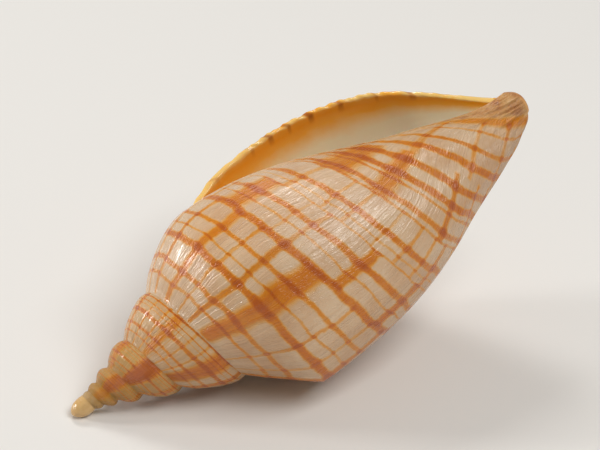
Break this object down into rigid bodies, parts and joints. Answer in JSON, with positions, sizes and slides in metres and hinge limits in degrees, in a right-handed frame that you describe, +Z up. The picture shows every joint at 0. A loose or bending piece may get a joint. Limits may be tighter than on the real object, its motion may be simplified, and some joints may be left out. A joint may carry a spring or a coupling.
{
  "type": "volute shell",
  "caption": "Spindle-shaped right-coiled sea shell with a pointed spire, a long open mouth, a thin lip, folds on the pillar and a notched front end.",
  "frame": {"origin": "centre of the bounding box's base, on the surface that the shell lies on", "axes": "+X level, towards the front end; the shell's own axis rises 27 degrees from the apex, which lies on the surface, to the front end; +Z up; the mouth opens up and towards +Y"},
  "size_m": [0.0738, 0.0366, 0.037],
  "materials": {
    "shell": "polished"
  },
  "bodies": {
    "root": {"shell": "shell"}
  },
  "joints": []
}
